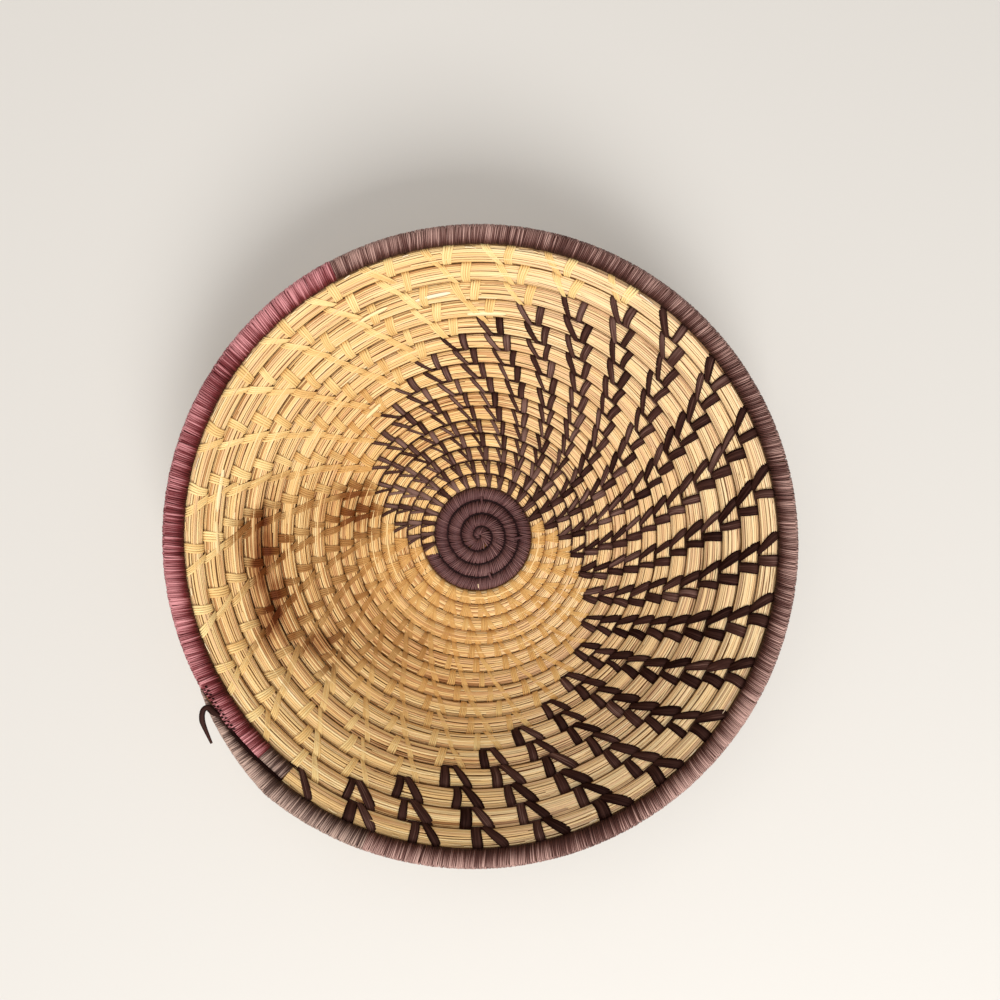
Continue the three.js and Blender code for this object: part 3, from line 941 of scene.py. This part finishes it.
# The rim's wrapping is greyer where it starts and over the coil's thin end, mauve on the left,
# and made of finer strips along the dark stretch.
MAUVE_TURNS = (20.239, 20.536)
GREY_FROM_TURN = 21.17
CENTRE_STOPS = [
    (0.0, (0.020, 0.006, 0.007)),
    (0.5, (0.100, 0.040, 0.041)),
    (1.0, (0.29, 0.16, 0.15)),
]
RIM_STOPS = [
    (0.0, (0.034, 0.011, 0.009)),
    (0.5, (0.120, 0.049, 0.041)),
    (1.0, (0.55, 0.345, 0.30)),
]
GREY_STOPS = [
    (0.0, (0.030, 0.013, 0.010)),
    (0.5, (0.090, 0.050, 0.042)),
    (1.0, (0.50, 0.35, 0.29)),
]
MAUVE_STOPS = [
    (0.0, (0.045, 0.005, 0.005)),
    (0.5, (0.170, 0.026, 0.031)),
    (1.0, (0.71, 0.31, 0.33)),
]
WRAPS = [
    {
        "name": "centre_wrap",
        "node": "centre_wrap",
        "slot": "centre_raffia",
        "stops": CENTRE_STOPS,
        "turns": (HOOK_TURN, CENTRE_END_TURN),
        "swell": (0.89, 0.97),
        "contrast": 0.35,
        "fineness": 1,
        "painted_rim_light": 0.0,
    },
    {
        "name": "rim_wrap_start",
        "node": "rim_wrap_start",
        "slot": "rim_raffia",
        "stops": GREY_STOPS,
        "turns": (RIM_START_TURN, MAUVE_TURNS[0]),
        "swell": (0.99, 1.02),
        "contrast": 0.8,
        "fineness": 1,
        "painted_rim_light": 1.0,
    },
    {
        "name": "rim_wrap_mauve",
        "node": "rim_wrap_mauve",
        "slot": "mauve_raffia",
        "stops": MAUVE_STOPS,
        "turns": MAUVE_TURNS,
        "swell": (1.05, 1.07),
        "contrast": 0.9,
        "fineness": 1,
        "painted_rim_light": 1.0,
    },
    {
        "name": "rim_wrap_dark",
        "node": "rim_wrap_dark",
        "slot": "rim_raffia",
        "stops": RIM_STOPS,
        "turns": (MAUVE_TURNS[1], GREY_FROM_TURN),
        "swell": (1.0, 1.03),
        "contrast": 0.9,
        "fineness": 0.78,
        "painted_rim_light": 1.0,
    },
    {
        "name": "rim_wrap_dark_end",
        "node": "rim_wrap_dark",
        "slot": "rim_raffia",
        "stops": GREY_STOPS,
        "turns": (GREY_FROM_TURN, RIM_END_TURN),
        "swell": (1.0, 1.03),
        "contrast": 0.8,
        "fineness": 1,
        "painted_rim_light": 1.0,
    },
]
for wrap in WRAPS:
    finish = raffia_finish(
        wrap["name"] + "_raffia", wrap["stops"], roughness=0.5, fibres=4.0, gloss=0.15
    )
    paths = [winding(wrap)]
    if wrap["name"] == "centre_wrap":
        paths += centre_extras()
    piece = strands(wrap["name"] + "_strips", paths, finish, sides=5, flatness=0.28)
    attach(piece, "root")
    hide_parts(wrap["node"])


# The coil's thin end is sewn down on the row before it: small black stitches in the groove
# between the two, in pairs, and the strips of the wrapping run on across it.
BINDING_STITCHES = 12
BINDING_TURNS = 0.0024
BINDING_END_TURN = 21.285
BINDING_PAIR = ((0.0, 0.74), (0.0012, 0.94))
BINDING_LENGTH = 0.0009
BINDING_REACHES = np.array([0, 0.04, 0.08, 0.12, 0.16])
BINDING_ROUND = 1.40
BINDING_LOWEST = 0.1
BINDING_BREADTHS = (0.0003, 0.00045)
BINDING_TAPER = np.array([0.6, 1, 1, 1, 0.6])
binding_and_shade_paths = []
for number in range(BINDING_STITCHES):
    for shift, reach in BINDING_PAIR:
        turn = BINDING_END_TURN - 1 - number * BINDING_TURNS - shift
        turns = turn + np.linspace(0, BINDING_LENGTH, len(BINDING_REACHES))
        reaches = reach + BINDING_REACHES
        lifts = np.sqrt(np.clip(BINDING_ROUND - reaches**2, BINDING_LOWEST, BINDING_ROUND))
        breadth = chance.uniform(*BINDING_BREADTHS) * BINDING_TAPER
        points = coil_point(turns, reaches, lifts)
        binding_and_shade_paths.append(path(points, coil_at(turns).square, breadth, tone=-0.5))

# Under the coil's thin end the groove beside the rim stands open, and a strand of the darkest tone
# lies in it: painted shade.
OPEN_GROOVE_TURNS = [20.2228, 20.227, 20.252, 20.260]
OPEN_GROOVE_BREADTHS = [0.0006, 0.0010, 0.0009, 0.0004]
OPEN_GROOVE_POINTS = 24
groove_turns = np.linspace(OPEN_GROOVE_TURNS[0], OPEN_GROOVE_TURNS[-1], OPEN_GROOVE_POINTS)
groove_points = coil_point(
    groove_turns, np.full(OPEN_GROOVE_POINTS, 1.04), np.full(OPEN_GROOVE_POINTS, 0.58)
)
groove_breadth = np.interp(groove_turns, OPEN_GROOVE_TURNS, OPEN_GROOVE_BREADTHS)
binding_and_shade_paths.append(path(groove_points, coil_at(groove_turns).square, groove_breadth, tone=-0.9))
binding_and_groove_shade = strands("end_binding_thread_and_groove_shade", binding_and_shade_paths, dark_raffia, sides=6, flatness=0.5)
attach(binding_and_groove_shade, "root")
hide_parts("end_binding")

# The last strip of raffia is left loose: it comes over the coil's thin end, bends and hangs down
# outside the rim, thin at its tip. The offsets are in millimetres from the rim's outer side.
TAIL_TURN = 21.277
TAIL_OFFSETS = [
    (-1.4, -1.6, 0.3),
    (-2.1, -4.2, 0.2),
    (-2.5, -7.6, -0.9),
    (-1.9, -12.6, -3.5),
    (-0.8, -20.5, -8.0),
]
MILLIMETRE = 0.001
TAIL_TOP_TURNS = TAIL_TURN - np.array([0.008, 0.004, 0.001])
TAIL_TOP_PLACES = np.array([-0.3, 0.4, 1.0])
TAIL_TOP_LIFTS = np.array([1.3, 1.3, 0.9])
TAIL_KNOTS = [0, 2, 3, 5, 7]
TAIL_BREADTHS = [0.0013, 0.0016, 0.0013, 0.0013, 0.0006]
TAIL_POINTS = 33
TAIL_SMOOTHINGS = 4
TAIL_FACING = [0.35, -0.1, 1.0]
tail_start = coil_point(np.array([TAIL_TURN]), np.array([1.0]), np.array([0.0]))[0]
tail_top = coil_point(TAIL_TOP_TURNS, TAIL_TOP_PLACES, TAIL_TOP_LIFTS)
tail_rest = [tail_start + np.array(offset) * MILLIMETRE for offset in TAIL_OFFSETS]
knots = np.array([*tail_top, *tail_rest])
steps = np.linspace(0, len(knots) - 1, TAIL_POINTS)
tail_axes = [np.interp(steps, np.arange(len(knots)), knots[:, axis]) for axis in range(3)]
tail_points = np.stack(tail_axes, 1)
for smoothing in range(TAIL_SMOOTHINGS):
    tail_points[1:-1] = (tail_points[:-2] + 2 * tail_points[1:-1] + tail_points[2:]) / 4
tail_facing = np.tile(TAIL_FACING, (TAIL_POINTS, 1))
tail_breadth = np.interp(steps, TAIL_KNOTS, TAIL_BREADTHS)
tail_path = path(tail_points, tail_facing, tail_breadth, tone=0.0)
tail = strands("loose_tail_strip", [tail_path], dark_raffia, sides=8, flatness=0.2)
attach(tail, "root")
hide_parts("loose_tail")


# The bowl lies on a plain pale floor under soft light from a window and a ceiling.
FLOOR_HALF = 3.0
FLOOR_COLOUR = (0.66, 0.65, 0.63, 1)
FLOOR_ROUGHNESS = 0.9
ROOM_COLOUR = (1.0, 0.98, 0.95, 1)
ROOM_LIGHT = 0.45
floor_mesh = bpy.data.meshes.new("floor")
corners = [(-FLOOR_HALF, -FLOOR_HALF, 0), (FLOOR_HALF, -FLOOR_HALF, 0)]
corners += [(FLOOR_HALF, FLOOR_HALF, 0), (-FLOOR_HALF, FLOOR_HALF, 0)]
floor_mesh.from_pydata(corners, [], [(0, 1, 2, 3)])
floor = bpy.data.objects.new("floor", floor_mesh)
bpy.context.scene.collection.objects.link(floor)
floor_material, _, floor_surface, _ = shader("pale_floor")
floor_surface.inputs["Base Color"].default_value = FLOOR_COLOUR
floor_surface.inputs["Roughness"].default_value = FLOOR_ROUGHNESS
floor_mesh.materials.append(floor_material)

world = bpy.data.worlds.new("soft_room")
world.use_nodes = True
world.node_tree.nodes["Background"].inputs["Color"].default_value = ROOM_COLOUR
world.node_tree.nodes["Background"].inputs["Strength"].default_value = ROOM_LIGHT
bpy.context.scene.world = world

LAMPS = [
    {
        "name": "window",
        "place": (0.35, -1.45, 1.35),
        "size": 1.0,
        "watts": 39.0,
        "colour": (1.0, 0.975, 0.94),
    },
    {
        "name": "ceiling",
        "place": (-0.3, 0.4, 1.6),
        "size": 1.6,
        "watts": 9.8,
        "colour": (1.0, 0.91, 0.83),
    },
]
for source in LAMPS:
    light = bpy.data.lights.new(source["name"], "AREA")
    light.size = source["size"]
    light.energy = source["watts"]
    light.color = source["colour"]
    lamp = bpy.data.objects.new(source["name"], light)
    lamp.location = source["place"]
    lamp.rotation_euler = (-Vector(source["place"])).to_track_quat("-Z", "Y").to_euler()
    bpy.context.scene.collection.objects.link(lamp)

# The camera looks straight down from above the rim, a little off the middle, as a phone was held.
CAMERA_FROM_MIDDLE = np.array([0.0113, 0.0197, 0.4062])
SENSOR_MILLIMETRES = 36
LENS_MILLIMETRES = 26
camera_data = bpy.data.cameras.new("view")
camera_data.sensor_width = SENSOR_MILLIMETRES
camera_data.lens = LENS_MILLIMETRES
camera = bpy.data.objects.new("view", camera_data)
camera.location = SPIRAL_MIDDLE + CAMERA_FROM_MIDDLE
bpy.context.scene.collection.objects.link(camera)
bpy.context.scene.camera = camera
bpy.context.scene.view_settings.view_transform = "Standard"
